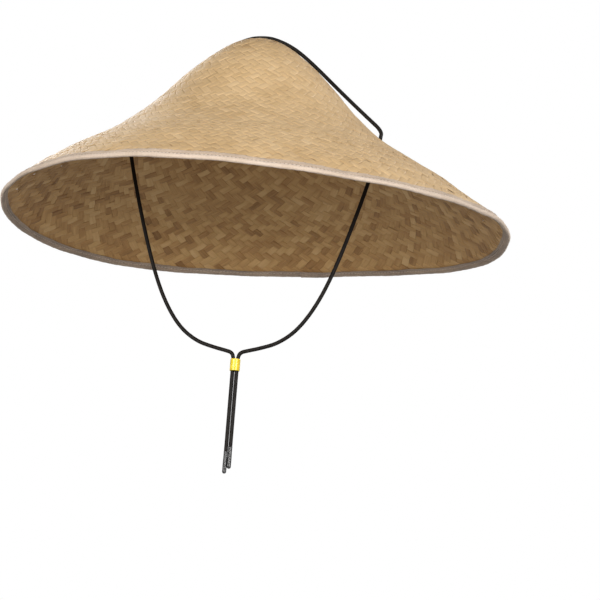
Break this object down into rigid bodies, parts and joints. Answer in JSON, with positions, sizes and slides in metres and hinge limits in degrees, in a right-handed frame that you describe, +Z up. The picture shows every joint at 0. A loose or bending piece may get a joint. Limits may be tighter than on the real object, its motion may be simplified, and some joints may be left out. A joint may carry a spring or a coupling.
{
  "type": "conical hat",
  "caption": "Woven straw conical hat with a rounded peak, flared brim, bound wired rim, and a cord over the crown that forms a chin strap with a slider bead.",
  "frame": {"origin": "centre of the head-fit circle inside the cone, 80 mm above the rim", "axes": "+Z up along the cone's axis to the peak, +X through the cord hole over the wearer's left ear, -Y towards the front"},
  "size_m": [0.41, 0.41, 0.3598],
  "materials": {
    "straw": "matte",
    "binding_tape": "matte",
    "stitch_thread": "satin",
    "rim_wire": "satin",
    "wire_sleeve": "satin",
    "black_cord": "matte",
    "yellow_bead": "gloss",
    "clear_tip": "gloss"
  },
  "bodies": {
    "hat": {"woven_body": "straw", "brim_wire": "rim_wire", "wire_joiner": "wire_sleeve", "brim_binding": "binding_tape", "needle_thread": "stitch_thread", "bobbin_thread": "stitch_thread", "crown_cord": "black_cord"},
    "chin_strap": {"chin_cord_left": "black_cord", "chin_cord_right": "black_cord", "cord_tip_left": "clear_tip", "cord_tip_right": "clear_tip"},
    "bead": {"slider_bead": "yellow_bead"}
  },
  "joints": [
    {"name": "strap_swing", "type": "hinge", "parent": "hat", "child": "chin_strap", "pos_m": [0, 0, -0.01325], "axis": [1, 0, 0], "range_deg": [-60, 60]},
    {"name": "bead_slide", "type": "slide", "parent": "chin_strap", "child": "bead", "axis": [0, 0, -1], "range_m": [0, 0.059]}
  ]
}
